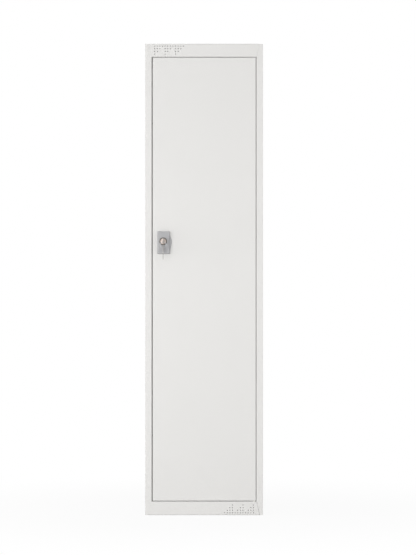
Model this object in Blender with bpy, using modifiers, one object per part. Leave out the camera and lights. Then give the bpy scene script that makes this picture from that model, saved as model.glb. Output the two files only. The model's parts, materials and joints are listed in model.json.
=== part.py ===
"""A single-door steel locker: folded carcass, flush pivot-hung door, cam lock and its keys.

Metres, +Z up, front towards -Y. The origin is on the floor, under the middle of the locker's
box, which takes in the key that stands out in front of the door.
"""

import math

import bmesh
import bpy
from mathutils import Matrix, Vector

# Carcass
WIDTH = 0.450
HEIGHT = 1.800
DEPTH = 0.450
SHEET = 0.001
INNER_BEND = 0.0005
BEND_STEPS = 3
FIT = 0.0003
REAR_FLANGE = 0.018
TRAY_FLANGE = 0.020

# Front frame
STILE = 0.0252
TOP_RAIL = 0.050
BOTTOM_RAIL = 0.0525
RAIL_FLANGE = 0.030
STOP_LIP = 0.012
SEAM_EDGE = 0.012

# Vent holes in the rails
VENT_RADIUS = 0.0017
VENT_PITCH = 0.010
VENT_SIDE = 0.0362
VENT_EDGE = 0.0089
VENT_GROUPS = 3
VENT_ROWS = 4

# Door
LOCK_GAP = 0.0035
HINGE_GAP = 0.002
TOP_GAP = 0.002
BOTTOM_GAP = 0.0023
DOOR_DEPTH = 0.018
DOOR_LIP = 0.015
HAT_WIDTH = 0.040
HAT_BRIM = 0.012
HAT_DEPTH = 0.013
HAT_MIDDLE = 0.010
HAT_END_GAP = 0.004
BUFFER_SPACE = 0.003
BUFFER_RADIUS = 0.004
BUFFER_INSET = 0.250

# Pivot hinge
HINGE_SIDE = 0.0065
HINGE_BEHIND = 0.0055
PIN_RADIUS = 0.0022
PIN_HEAD_RADIUS = 0.0033
PIN_HEAD = 0.0015
PIN_INSERT = 0.007
BUSH_WALL = 0.0007
BUSH_LENGTH = 0.009
WASHER_RADIUS = 0.0046
PIVOT_PLATE = 0.002
PIVOT_PLATE_REACH = 0.030
PIVOT_PLATE_EDGE = 0.0065
PIVOT_PLATE_DEPTH = 0.016

# Shelf and coat rail
SHELF_TOP = 1.505
SHELF_RIM = 0.025
SHELF_SETBACK = 0.040
SHELF_SIDE_GAP = 0.0005
BRACKET_LEDGE = 0.020
BRACKET_DROP = 0.022
BRACKET_LENGTH = 0.340
BRACKET_SHEET = 0.0015
RIVET_RADIUS = 0.002
RIVET_HEAD_RADIUS = 0.004
RIVET_HEAD = 0.0014
RIVET_FLUSH = 0.0002
RIVET_SPACING = 0.240
RIVET_DROP = 0.012
COAT_RAIL_DROP = 0.060
COAT_RAIL_RADIUS = 0.011
COAT_RAIL_WALL = 0.0012
SOCKET_WALL = 0.003
SOCKET_BASE = 0.003
SOCKET_DEPTH = 0.014
SOCKET_FLANGE = 0.005

# Fixing holes
FIXING_RADIUS = 0.0035
FIXING_INSET = 0.060
FIXING_FROM_ENDS = 0.150

# Lock
LOCK_BACKSET = 0.0406
LOCK_Z = 1.0454
HOUSING_LEFT = 0.0222
HOUSING_RIGHT = 0.0251
HOUSING_TIP = 0.0324
HOUSING_ABOVE = 0.0381
HOUSING_BELOW = 0.0479
TIP_ABOVE = 0.005
TIP_BELOW = 0.0065
BULGE_ABOVE = 0.024
BULGE_BELOW = 0.0371
HOUSING_DEPTH = 0.020
HOUSING_BASE = 0.004
HOUSING_CORNER = 0.002
HOUSING_EDGE = 0.0006
WAIST_LEFT = 0.0006
WAIST_RIGHT = 0.0009
WAIST_TIP = 0.0080
FACE_LEFT = 0.0056
FACE_RIGHT = 0.0024
FACE_TIP = 0.0145
FACE_END = 0.0024
BEZEL_RADIUS = 0.0146
BEZEL_SEAT = 0.004
BEZEL_PROUD = 0.001
BEZEL_CHAMFER = 0.0012
PLUG_FACE_RADIUS = 0.0112
PLUG_FACE_SUNK = 0.0005
PLUG_CHAMFER = 0.0006
PLUG_RADIUS = 0.009
PLUG_BACK = 0.0135
BOSS_RADIUS = 0.012
BOSS_BACK = 0.012
BOSS_ROOT = 0.002
NUT_RADIUS = 0.017
NUT_THICKNESS = 0.005
LOCK_SCREW_ABOVE = 0.029
LOCK_SCREW_BELOW = 0.037
LOCK_SCREW_RADIUS = 0.0018
LOCK_SCREW_HEAD_RADIUS = 0.0035
LOCK_SCREW_HEAD = 0.002
LOCK_SCREW_GRIP = 0.008
SHAFT_RADIUS = 0.0045
CAM_CLEAR = 0.0006
CAM_THICKNESS = 0.002
CAM_REACH = 0.040
CAM_WIDTH = 0.014
CAM_CORNER = 0.004
CAM_SCREW_RADIUS = 0.0018
CAM_SCREW_HEAD_RADIUS = 0.006
CAM_SCREW_HEAD = 0.002
CAM_SCREW_LENGTH = 0.008

# Keys
KEY_SHEET = 0.0022
BLADE_WIDTH = 0.0078
BOW_RADIUS = 0.012
BOW_HOLE = 0.0035
BOW_STANDOFF = 0.0045
KEY_LENGTH = 0.0414
KEY_TIP = 0.004
BITTING_FIRST = 0.019
BITTING_PITCH = 0.0036
BITTING_FLAT = 0.0006
BITTING_DEPTHS = (0.0014, 0.0022, 0.0009, 0.0019, 0.0012)
RING_RADIUS = 0.0115
RING_WIRE = 0.0009

# Flat share of a domed head, how far a cutter runs past what it cuts, and facets of round pieces
HEAD_CROWN = 0.6
PAST = 0.002
FINE = 32
ROUND = 20
SMALL = 12

# Places that follow from the sizes
FACE_OUT = HOUSING_DEPTH - PLUG_FACE_SUNK
BOW_OUT = FACE_OUT + BOW_STANDOFF + BOW_RADIUS
FRONT = (BOW_OUT + BOW_RADIUS - DEPTH) / 2
BACK = FRONT + DEPTH
MIDDLE = (FRONT + BACK) / 2
HALF = WIDTH / 2
HEAD = HEIGHT - TOP_RAIL
SILL = BOTTOM_RAIL
STOP_FACE = FRONT + DOOR_DEPTH + BUFFER_SPACE
RAIL_STOP = STOP_FACE + SHEET + FIT + SHEET + INNER_BEND
DOOR_LEFT = -HALF + STILE + LOCK_GAP
DOOR_RIGHT = HALF - STILE - HINGE_GAP
DOOR_BOTTOM = SILL + BOTTOM_GAP
DOOR_TOP = HEAD - TOP_GAP
LOCK_X = DOOR_LEFT + LOCK_BACKSET
HINGE_X = DOOR_RIGHT - HINGE_SIDE
HINGE_Y = FRONT + HINGE_BEHIND
BUSH_BORE = PIN_RADIUS + FIT
BUSH_RADIUS = BUSH_BORE + BUSH_WALL
INSIDE_BACK = BACK - 2 * (SHEET + FIT)
BRACKET_TOP = SHELF_TOP - SHELF_RIM - FIT
COAT_RAIL_Z = BRACKET_TOP - COAT_RAIL_DROP
SOCKET_BORE = COAT_RAIL_RADIUS + FIT
CAM_FRONT = STOP_FACE + SHEET + CAM_CLEAR
CAM_BACK = CAM_FRONT + CAM_THICKNESS
RING_TOP = LOCK_Z - BOW_HOLE + FIT + RING_WIRE
RING_Z = RING_TOP - RING_RADIUS
RING_BOTTOM = RING_Z - RING_RADIUS
SPARE_Z = RING_BOTTOM + RING_WIRE + FIT - BOW_HOLE
SHAFT_END = FRONT - CAM_BACK + FIT

# Each end of the front frame: the rail's inner edge, the locker's end, and which way is out
ENDS = {"top": (HEAD, HEIGHT, 1), "bottom": (SILL, 0, -1)}

# Turns that carry an outline or a profile into the locker's frame
UPRIGHT = (0, 0, 0)
INVERTED = (math.pi, 0, 0)
ACROSS = (math.pi / 2, 0, math.pi / 2)
FACING = (math.pi / 2, 0, 0)
TO_RIGHT = (0, math.pi / 2, 0)
TO_LEFT = (0, -math.pi / 2, 0)


for old in list(bpy.data.objects):
    bpy.data.objects.remove(old, do_unlink=True)

parts = bpy.data.collections.new("steel_locker")
cutters = bpy.data.collections.new("cutters")
bpy.context.scene.collection.children.link(parts)
bpy.context.scene.collection.children.link(cutters)


def finish(name, colour, roughness, metallic):
    """A plain material of the finish's colour, roughness and metal share."""
    material = bpy.data.materials.new(name)
    material.use_nodes = True
    shader = material.node_tree.nodes["Principled BSDF"]
    shader.inputs["Base Color"].default_value = (*colour, 1)
    shader.inputs["Roughness"].default_value = roughness
    shader.inputs["Metallic"].default_value = metallic
    return material


PAINT = finish("white_powder_coat", (0.80, 0.79, 0.77), 0.5, 0)
MOULDING = finish("grey_moulding", (0.46, 0.46, 0.47), 0.45, 0)
DARK_RING = finish("dark_ring", (0.14, 0.13, 0.12), 0.4, 0.6)
NICKEL = finish("warm_nickel", (0.62, 0.54, 0.49), 0.3, 1)
ZINC = finish("zinc_plate", (0.60, 0.60, 0.62), 0.35, 1)
NYLON = finish("natural_nylon", (0.78, 0.76, 0.70), 0.6, 0)
RUBBER = finish("grey_rubber", (0.09, 0.09, 0.09), 0.8, 0)


def placed(name, mesh, material, turn, place):
    """A named piece of the locker, or a wire cutter where it has no material."""
    piece = bpy.data.objects.new(name, mesh)
    piece.rotation_euler = turn
    piece.location = place
    if material is None:
        cutters.objects.link(piece)
        piece.hide_render = True
        piece.display_type = "WIRE"
    else:
        parts.objects.link(piece)
        mesh.materials.append(material)
    return piece


def circle(radius, steps, centre=(0, 0)):
    """Points evenly round a circle."""
    angles = [2 * math.pi * step / steps for step in range(steps)]
    return [(centre[0] + radius * math.cos(a), centre[1] + radius * math.sin(a)) for a in angles]


def rectangle(left, right, low, high):
    """The corners of a rectangle, anticlockwise."""
    return [(left, low), (right, low), (right, high), (left, high)]


def rounded(path, radius, steps, closed=False):
    """The path with each corner turned into an arc of the radius."""
    corners = [Vector(point) for point in path]
    line = []
    for index, corner in enumerate(corners):
        if not closed and index in (0, len(corners) - 1):
            line.append(corner)
            continue
        before = (corners[index - 1] - corner).normalized()
        after = (corners[(index + 1) % len(corners)] - corner).normalized()
        half = before.angle(after) / 2
        centre = corner + (before + after).normalized() * (radius / math.sin(half))
        spoke = corner + before * (radius / math.tan(half)) - centre
        turning = math.copysign(math.pi - 2 * half, before.y * after.x - before.x * after.y)
        for step in range(steps + 1):
            line.append(centre + Matrix.Rotation(turning * step / steps, 2) @ spoke)
    return line


def sheet_outline(path, thickness):
    """The section of a folded sheet: one face follows the path, the other lies to its left."""
    line = rounded(path, abs(thickness) + INNER_BEND, BEND_STEPS)
    runs = [(after - before).normalized() for before, after in zip(line, line[1:])]
    sides = [Vector((-run.y, run.x)) for run in runs]
    back = []
    for index, point in enumerate(line):
        first = sides[max(index - 1, 0)]
        second = sides[min(index, len(sides) - 1)]
        back.append(point + (first + second) * (thickness / (1 + first.dot(second))))
    return line + back[::-1]


def prism(name, outlines, thickness, material, turn, place):
    """A flat outline, less any outlines inside it, carried straight for the thickness."""
    curve = bpy.data.curves.new(name, "CURVE")
    curve.dimensions = "2D"
    curve.fill_mode = "BOTH"
    curve.extrude = thickness / 2
    for outline in outlines:
        spline = curve.splines.new("POLY")
        spline.points.add(len(outline) - 1)
        for point, (across, up) in zip(spline.points, outline):
            point.co = (across, up, 0, 1)
        spline.use_cyclic_u = True
    flat = bpy.data.objects.new(name, curve)
    parts.objects.link(flat)
    view = bpy.context.evaluated_depsgraph_get()
    mesh = bpy.data.meshes.new_from_object(flat.evaluated_get(view))
    bpy.data.objects.remove(flat)
    shape = bmesh.new()
    shape.from_mesh(mesh)
    bmesh.ops.remove_doubles(shape, verts=shape.verts, dist=1e-6)
    shape.to_mesh(mesh)
    shape.free()
    mesh.name = name
    return placed(name, mesh, material, turn, place)


def turned(name, profile, steps, material, turn, place, ring=False):
    """A (radius, height) profile spun about local Z; it runs down the outer side."""
    shape = bmesh.new()
    verts = [shape.verts.new((radius, 0, height)) for radius, height in profile]
    for first, second in zip(verts, verts[1:]):
        shape.edges.new((first, second))
    if ring:
        shape.edges.new((verts[-1], verts[0]))
    mesh = bpy.data.meshes.new(name)
    shape.to_mesh(mesh)
    shape.free()
    piece = placed(name, mesh, material, turn, place)
    spin = piece.modifiers.new("spin", "SCREW")
    spin.steps = steps
    spin.render_steps = steps
    spin.use_merge_vertices = True
    spin.merge_threshold = 0.00002
    return piece


def rod(name, radius, low, high, steps, material, turn, place):
    """A plain turned cylinder between two heights."""
    profile = [(0, high), (radius, high), (radius, low), (0, low)]
    return turned(name, profile, steps, material, turn, place)


def drills(name, centres, length, turn, place):
    """One cutter of many round drills: each centre is (across, up, radius, steps)."""
    shape = bmesh.new()
    for across, up, radius, steps in centres:
        bmesh.ops.create_cone(
            shape,
            cap_ends=True,
            segments=steps,
            radius1=radius,
            radius2=radius,
            depth=length,
            matrix=Matrix.Translation((across, up, 0)),
        )
    mesh = bpy.data.meshes.new(name)
    shape.to_mesh(mesh)
    shape.free()
    return placed(name, mesh, None, turn, place)


def boolean(piece, cutter, operation="DIFFERENCE"):
    """Cuts the piece by the cutter, or joins the two."""
    change = piece.modifiers.new(cutter.name, "BOOLEAN")
    change.operation = operation
    change.solver = "EXACT"
    change.object = cutter


def tray(name, low, high, open_sides, material, lip=0):
    """A pressed tray: a box less its open sides, with folded edges; a lip returns round one of them."""
    shape = bmesh.new()
    bmesh.ops.create_cube(shape, size=1)
    size = Vector(high) - Vector(low)
    bmesh.ops.scale(shape, vec=size, verts=shape.verts)
    shape.normal_update()
    gone = [face for face in shape.faces for side in open_sides if face.normal.dot(Vector(side)) > 0.9]
    if lip:
        bmesh.ops.inset_region(shape, faces=gone, thickness=lip)
    bmesh.ops.delete(shape, geom=gone, context="FACES")
    mesh = bpy.data.meshes.new(name)
    shape.to_mesh(mesh)
    shape.free()
    piece = placed(name, mesh, material, UPRIGHT, (Vector(low) + Vector(high)) / 2)
    fold = piece.modifiers.new("folded edges", "BEVEL")
    fold.width = SHEET + INNER_BEND
    fold.segments = BEND_STEPS
    fold.limit_method = "ANGLE"
    wall = piece.modifiers.new("sheet", "SOLIDIFY")
    wall.thickness = SHEET
    wall.offset = -1
    wall.use_even_offset = True
    return piece


# The frame's corner seams run from the door opening's corner to the locker's end
def seam_x(height, end):
    """Distance of a seam from the locker's middle, at a height, for the top or bottom end."""
    inner, edge, sign = ENDS[end]
    base = inner - sign * FIT
    start = HALF - STILE + SHEET
    return start + (HALF - SEAM_EDGE - start) * (height - base) / (edge - base)


def seam_cutter(name, end, side, keep_rail):
    """A wedge on one side of a seam: it clears the stile for the rail, or trims the rail's end."""
    inner, edge, sign = ENDS[end]
    far = edge + sign * PAST
    if keep_rail:
        near = inner - sign * FIT
        clear = HALF - STILE - STOP_LIP - PAST
        points = [(clear, near), (seam_x(near, end), near), (seam_x(far, end), far), (clear, far)]
    else:
        near = inner - sign * (STOP_LIP + PAST)
        past = HALF + PAST
        start = seam_x(near, end) - FIT
        points = [(start, near), (past, near), (past, far), (seam_x(far, end) - FIT, far)]
    outline = [(side * across, up) for across, up in points]
    deep = max(RAIL_STOP + SHEET - FRONT, RAIL_FLANGE) + PAST
    return prism(name, [outline], 2 * deep, None, FACING, (0, FRONT, 0))


# Side panels: rear flange, side, stile, jamb and stop lip, folded from one sheet
def rivet_places():
    """(depth, height) of the rivets through each side: two for the shelf bracket, one for the rail."""
    bracket = [(MIDDLE + share * RIVET_SPACING / 2, BRACKET_TOP - RIVET_DROP) for share in (-1, 1)]
    return bracket + [(MIDDLE, COAT_RAIL_Z)]


def fixing_places():
    """(depth, height) of the holes for joining the locker to one beside it."""
    depths = (FRONT + FIXING_INSET, BACK - FIXING_INSET)
    return [(depth, height) for depth in depths for height in (FIXING_FROM_ENDS, HEIGHT - FIXING_FROM_ENDS)]


def side_panel(name, side):
    path = [
        (HALF - REAR_FLANGE, BACK),
        (HALF, BACK),
        (HALF, FRONT),
        (HALF - STILE, FRONT),
        (HALF - STILE, STOP_FACE),
        (HALF - STILE - STOP_LIP, STOP_FACE),
    ]
    folded = sheet_outline([(side * across, deep) for across, deep in path], -side * SHEET)
    panel = prism(name, [folded], HEIGHT, PAINT, UPRIGHT, (0, 0, HEIGHT / 2))
    for end in ENDS:
        boolean(panel, seam_cutter(f"{name}_{end}_seam", end, side, True))
    holes = [(deep, up, RIVET_RADIUS + FIT, SMALL) for deep, up in rivet_places()]
    holes += [(deep, up, FIXING_RADIUS, SMALL) for deep, up in fixing_places()]
    boolean(panel, drills(f"{name}_holes", holes, 2 * (SHEET + PAST), ACROSS, (side * HALF, 0, 0)))
    return panel


# Back panel: a flat sheet inside the rear flanges, with holes for fixing to a wall
def back_panel():
    edge = HALF - SHEET - FIT
    sheet = rectangle(-edge, edge, FIT, HEIGHT - FIT)
    across = HALF - FIXING_INSET
    heights = (FIXING_FROM_ENDS, HEIGHT - FIXING_FROM_ENDS)
    holes = [circle(FIXING_RADIUS, SMALL, (side * across, up)) for side in (-1, 1) for up in heights]
    return prism("back_panel", [sheet, *holes], SHEET, PAINT, FACING, (0, BACK - 1.5 * SHEET - FIT, 0))


# Roof and floor: the same tray, turned over; each covers its rail's flange
def end_tray(name, low, high, open_end):
    edge = HALF - SHEET - FIT
    start = (-edge, FRONT + SHEET + FIT, low)
    return tray(name, start, (edge, INSIDE_BACK, high), [(0, -1, 0), (0, 0, open_end)], PAINT)


# Rails: flange, fascia, return and stop lip, with slanted ends and vent holes
def vent_places(side, edge, sign):
    """Right triangles of holes in a row, starting from one corner of the fascia."""
    places = []
    for group in range(VENT_GROUPS):
        for row in range(VENT_ROWS):
            for column in range(VENT_ROWS - row):
                steps = group * VENT_ROWS + column
                across = HALF - VENT_SIDE - steps * VENT_PITCH
                up = edge - sign * (VENT_EDGE + row * VENT_PITCH)
                places.append((side * across, up, VENT_RADIUS, SMALL))
    return places


def rail(name, end, vent_side):
    inner, edge, sign = ENDS[end]
    under_tray = edge - sign * (SHEET + FIT)
    path = [
        (FRONT + RAIL_FLANGE, under_tray),
        (FRONT, under_tray),
        (FRONT, inner),
        (RAIL_STOP, inner),
        (RAIL_STOP, inner - sign * STOP_LIP),
    ]
    length = 2 * (HALF - SEAM_EDGE)
    folded = prism(name, [sheet_outline(path, sign * SHEET)], length, PAINT, ACROSS, (0, 0, 0))
    for side, label in ((-1, "left"), (1, "right")):
        boolean(folded, seam_cutter(f"{name}_{label}_seam", end, side, False))
    pin_hole = [(HINGE_X, HINGE_Y, PIN_RADIUS + FIT, ROUND)]
    boolean(folded, drills(f"{name}_pin_hole", pin_hole, 2 * (SHEET + PAST), UPRIGHT, (0, 0, inner)))
    vents = vent_places(vent_side, edge, sign)
    boolean(folded, drills(f"{name}_vents", vents, 2 * (SHEET + PAST), FACING, (0, FRONT, 0)))
    return folded


# Pivot hinge: a plate and pin in each rail, a sleeve in each end of the door
def pivot(end):
    inner, _, sign = ENDS[end]
    turn = UPRIGHT if end == "top" else INVERTED
    plate_near = FRONT + SHEET + INNER_BEND + FIT
    plate_outline = rectangle(
        HINGE_X - PIVOT_PLATE_REACH, HINGE_X + PIVOT_PLATE_EDGE, plate_near, plate_near + PIVOT_PLATE_DEPTH
    )
    bore = circle(PIN_RADIUS + FIT, ROUND, (HINGE_X, HINGE_Y))
    plate_z = inner + sign * (SHEET + FIT + PIVOT_PLATE / 2)
    prism(f"{end}_pivot_plate", [plate_outline, bore], PIVOT_PLATE, ZINC, UPRIGHT, (0, 0, plate_z))
    gap = TOP_GAP if end == "top" else BOTTOM_GAP
    seat = SHEET + FIT + PIVOT_PLATE + FIT
    tip = -gap - PIN_INSERT
    profile = [
        (0, seat + PIN_HEAD),
        (PIN_HEAD_RADIUS, seat + PIN_HEAD),
        (PIN_HEAD_RADIUS, seat),
        (PIN_RADIUS, seat),
        (PIN_RADIUS, tip),
        (0, tip),
    ]
    turned(f"{end}_hinge_pin", profile, ROUND, ZINC, turn, (HINGE_X, HINGE_Y, inner))
    sleeve = [
        (BUSH_BORE, -gap),
        (BUSH_RADIUS, -gap),
        (BUSH_RADIUS, -gap - BUSH_LENGTH),
        (BUSH_BORE, -gap - BUSH_LENGTH),
    ]
    return turned(f"{end}_hinge_bush", sleeve, ROUND, NYLON, turn, (HINGE_X, HINGE_Y, inner), ring=True)


def hinge_washer():
    low = SILL + FIT
    high = DOOR_BOTTOM - FIT
    profile = [(BUSH_BORE, high), (WASHER_RADIUS, high), (WASHER_RADIUS, low), (BUSH_BORE, low)]
    return turned("hinge_washer", profile, ROUND, NYLON, UPRIGHT, (HINGE_X, HINGE_Y, 0), ring=True)


# Shelf and coat rail, with what carries them on each side
def shelf():
    edge = HALF - SHEET - SHELF_SIDE_GAP
    low = (-edge, FRONT + SHELF_SETBACK, SHELF_TOP - SHELF_RIM)
    return tray("shelf", low, (edge, INSIDE_BACK, SHELF_TOP), [(0, 0, -1)], PAINT)


def rivet(name, side, deep, up, held):
    """A rivet from the side's outer face through what it holds, with its head inside."""
    seat = SHEET + FIT + held + FIT
    shoulder = seat + RIVET_HEAD / 2
    profile = [
        (0, seat + RIVET_HEAD),
        (RIVET_HEAD_RADIUS * HEAD_CROWN, seat + RIVET_HEAD),
        (RIVET_HEAD_RADIUS, shoulder),
        (RIVET_HEAD_RADIUS, seat),
        (RIVET_RADIUS, seat),
        (RIVET_RADIUS, RIVET_FLUSH),
        (0, RIVET_FLUSH),
    ]
    turn = TO_LEFT if side > 0 else TO_RIGHT
    return turned(name, profile, SMALL, ZINC, turn, (side * HALF, deep, up))


def shelf_bracket(label, side):
    wall = HALF - SHEET - FIT
    path = [(wall, BRACKET_TOP - BRACKET_DROP), (wall, BRACKET_TOP), (wall - BRACKET_LEDGE, BRACKET_TOP)]
    angle = sheet_outline([(side * across, up) for across, up in path], side * BRACKET_SHEET)
    bracket = prism(f"shelf_bracket_{label}", [angle], BRACKET_LENGTH, PAINT, FACING, (0, MIDDLE, 0))
    front, rear, _ = rivet_places()
    holes = [(deep, up, RIVET_RADIUS + FIT, SMALL) for deep, up in (front, rear)]
    length = 2 * (SHEET + FIT + BRACKET_SHEET + PAST)
    boolean(bracket, drills(f"shelf_bracket_{label}_holes", holes, length, ACROSS, (side * HALF, 0, 0)))
    rivet(f"shelf_rivet_{label}_front", side, *front, BRACKET_SHEET)
    rivet(f"shelf_rivet_{label}_rear", side, *rear, BRACKET_SHEET)
    return bracket


def coat_rail():
    end = HALF - SHEET - FIT - SOCKET_BASE - FIT
    bore = COAT_RAIL_RADIUS - COAT_RAIL_WALL
    profile = [(bore, end), (COAT_RAIL_RADIUS, end), (COAT_RAIL_RADIUS, -end), (bore, -end)]
    return turned("coat_rail", profile, ROUND, ZINC, TO_RIGHT, (0, MIDDLE, COAT_RAIL_Z), ring=True)


def rail_socket(label, side):
    hole = RIVET_RADIUS + FIT
    outer = SOCKET_BORE + SOCKET_WALL
    flange = outer + SOCKET_FLANGE
    profile = [
        (SOCKET_BORE, SOCKET_DEPTH),
        (outer, SOCKET_DEPTH),
        (outer, SOCKET_BASE),
        (flange, SOCKET_BASE),
        (flange, 0),
        (hole, 0),
        (hole, SOCKET_BASE),
        (SOCKET_BORE, SOCKET_BASE),
    ]
    turn = TO_LEFT if side > 0 else TO_RIGHT
    place = (side * (HALF - SHEET - FIT), MIDDLE, COAT_RAIL_Z)
    rivet(f"rail_rivet_{label}", side, MIDDLE, COAT_RAIL_Z, SOCKET_BASE)
    return turned(f"rail_socket_{label}", profile, ROUND, ZINC, turn, place, ring=True)


# Door: a tray with a returned rear lip, stiffened by a hat section
def door_panel():
    low = (DOOR_LEFT, FRONT, DOOR_BOTTOM)
    high = (DOOR_RIGHT, FRONT + DOOR_DEPTH, DOOR_TOP)
    door = tray("door_panel", low, high, [(0, 1, 0)], PAINT, lip=DOOR_LIP)
    bush = [(HINGE_X, HINGE_Y, BUSH_RADIUS + FIT, ROUND)]
    for label, up in (("top", DOOR_TOP), ("bottom", DOOR_BOTTOM)):
        boolean(door, drills(f"door_{label}_bush_hole", bush, 2 * (SHEET + PAST), UPRIGHT, (0, 0, up)))
    holes = [(LOCK_X, up, LOCK_SCREW_RADIUS + FIT, SMALL) for up in lock_screw_heights().values()]
    holes.append((LOCK_X, LOCK_Z, BOSS_RADIUS + FIT, FINE))
    boolean(door, drills("door_lock_holes", holes, 2 * (SHEET + PAST), FACING, (0, FRONT, 0)))
    return door


def door_stiffener():
    near = FRONT + SHEET + FIT
    crown = near + HAT_DEPTH - SHEET
    left = HAT_MIDDLE - HAT_WIDTH / 2
    right = HAT_MIDDLE + HAT_WIDTH / 2
    path = [
        (left - HAT_BRIM, near),
        (left, near),
        (left, crown),
        (right, crown),
        (right, near),
        (right + HAT_BRIM, near),
    ]
    length = DOOR_TOP - DOOR_BOTTOM - 2 * (SHEET + HAT_END_GAP)
    middle = (DOOR_TOP + DOOR_BOTTOM) / 2
    return prism("door_stiffener", [sheet_outline(path, SHEET)], length, PAINT, UPRIGHT, (0, 0, middle))


def door_buffer(label, up):
    """A rubber stop with a domed face, on the lock side's stop lip."""
    thick = BUFFER_SPACE - 2 * FIT
    profile = [
        (0, thick),
        (BUFFER_RADIUS * HEAD_CROWN, thick),
        (BUFFER_RADIUS, thick / 2),
        (BUFFER_RADIUS, 0),
        (0, 0),
    ]
    across = -HALF + STILE + STOP_LIP / 2
    return turned(f"door_buffer_{label}", profile, ROUND, RUBBER, FACING, (across, STOP_FACE - FIT, up))


# Lock housing: a moulding on a pointed base, with flanks that lean in to its flat face
def housing_section(left, right, tip, end):
    """The housing's outline, drawn in from the base outline by these amounts."""
    corners = [
        (-HOUSING_LEFT + left, -HOUSING_BELOW + end),
        (HOUSING_RIGHT - right, -HOUSING_BELOW + end),
        (HOUSING_RIGHT - right, -BULGE_BELOW),
        (HOUSING_TIP - tip, -TIP_BELOW),
        (HOUSING_TIP - tip, TIP_ABOVE),
        (HOUSING_RIGHT - right, BULGE_ABOVE),
        (HOUSING_RIGHT - right, HOUSING_ABOVE - end),
        (-HOUSING_LEFT + left, HOUSING_ABOVE - end),
    ]
    return rounded(corners, HOUSING_CORNER, BEND_STEPS, closed=True)


def loft(name, sections, material, turn, place):
    """A closed body through outlines of equal count, each with its height."""
    shape = bmesh.new()
    rings = [[shape.verts.new((*point, height)) for point in outline] for outline, height in sections]
    count = len(rings[0])
    for low, high in zip(rings, rings[1:]):
        for index in range(count):
            after = (index + 1) % count
            shape.faces.new((low[index], low[after], high[after], high[index]))
    shape.faces.new(rings[0][::-1])
    shape.faces.new(rings[-1])
    mesh = bpy.data.meshes.new(name)
    shape.to_mesh(mesh)
    shape.free()
    return placed(name, mesh, material, turn, place)


def lock_screw_heights():
    return {"upper": LOCK_Z + LOCK_SCREW_ABOVE, "lower": LOCK_Z - LOCK_SCREW_BELOW}


def lock_housing():
    base = housing_section(0, 0, 0, 0)
    rim = housing_section(HOUSING_EDGE, HOUSING_EDGE, HOUSING_EDGE, HOUSING_EDGE)
    waist = housing_section(WAIST_LEFT + HOUSING_EDGE, WAIST_RIGHT, WAIST_TIP, WAIST_LEFT + HOUSING_EDGE)
    face = housing_section(FACE_LEFT, FACE_RIGHT, FACE_TIP, FACE_END)
    sections = [
        (base, FIT),
        (base, HOUSING_BASE - HOUSING_EDGE),
        (rim, HOUSING_BASE),
        (waist, HOUSING_BASE + HOUSING_EDGE),
        (face, HOUSING_DEPTH),
    ]
    place = (LOCK_X, FRONT, LOCK_Z)
    housing = loft("lock_housing", sections, MOULDING, FACING, place)
    boss = rod("lock_housing_boss", BOSS_RADIUS, -BOSS_BACK, BOSS_ROOT, FINE, None, FACING, place)
    boolean(housing, boss, "UNION")
    seat = HOUSING_DEPTH - BEZEL_SEAT
    bore = [
        (0, HOUSING_DEPTH + PAST),
        (BEZEL_RADIUS + FIT, HOUSING_DEPTH + PAST),
        (BEZEL_RADIUS + FIT, seat),
        (PLUG_RADIUS + FIT, seat),
        (PLUG_RADIUS + FIT, -BOSS_BACK - PAST),
        (0, -BOSS_BACK - PAST),
    ]
    boolean(housing, turned("lock_housing_bore", bore, FINE, None, FACING, place))
    holes = [(LOCK_X, up, LOCK_SCREW_RADIUS + FIT, SMALL) for up in lock_screw_heights().values()]
    length = 2 * (LOCK_SCREW_GRIP + FIT)
    boolean(housing, drills("lock_housing_screw_holes", holes, length, FACING, (0, FRONT, 0)))
    return housing


def lock_bezel():
    inner = PLUG_FACE_RADIUS + FIT
    top = HOUSING_DEPTH + BEZEL_PROUD
    seat = HOUSING_DEPTH - BEZEL_SEAT + FIT
    profile = [
        (inner, top),
        (BEZEL_RADIUS - BEZEL_CHAMFER, top),
        (BEZEL_RADIUS, top - BEZEL_CHAMFER),
        (BEZEL_RADIUS, seat),
        (inner, seat),
    ]
    return turned("lock_bezel", profile, FINE, DARK_RING, FACING, (LOCK_X, FRONT, LOCK_Z), ring=True)


def lock_nut():
    hexagon = circle(NUT_RADIUS, 6)
    bore = circle(BOSS_RADIUS + FIT, FINE)
    deep = FRONT + SHEET + FIT + NUT_THICKNESS / 2
    return prism("lock_nut", [hexagon, bore], NUT_THICKNESS, ZINC, FACING, (LOCK_X, deep, LOCK_Z))


def screw(name, radius, head_radius, head, tip, seat, up):
    """A pan-head screw driven outwards from inside the door, from its seat to its tip."""
    profile = [
        (0, tip),
        (radius, tip),
        (radius, seat),
        (head_radius, seat),
        (head_radius, seat - head / 2),
        (head_radius * HEAD_CROWN, seat - head),
        (0, seat - head),
    ]
    return turned(name, profile, SMALL, ZINC, FACING, (LOCK_X, FRONT, up))


def lock_screw(label, up):
    return screw(
        f"lock_screw_{label}",
        LOCK_SCREW_RADIUS,
        LOCK_SCREW_HEAD_RADIUS,
        LOCK_SCREW_HEAD,
        LOCK_SCREW_GRIP,
        -SHEET - FIT,
        up,
    )


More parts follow.
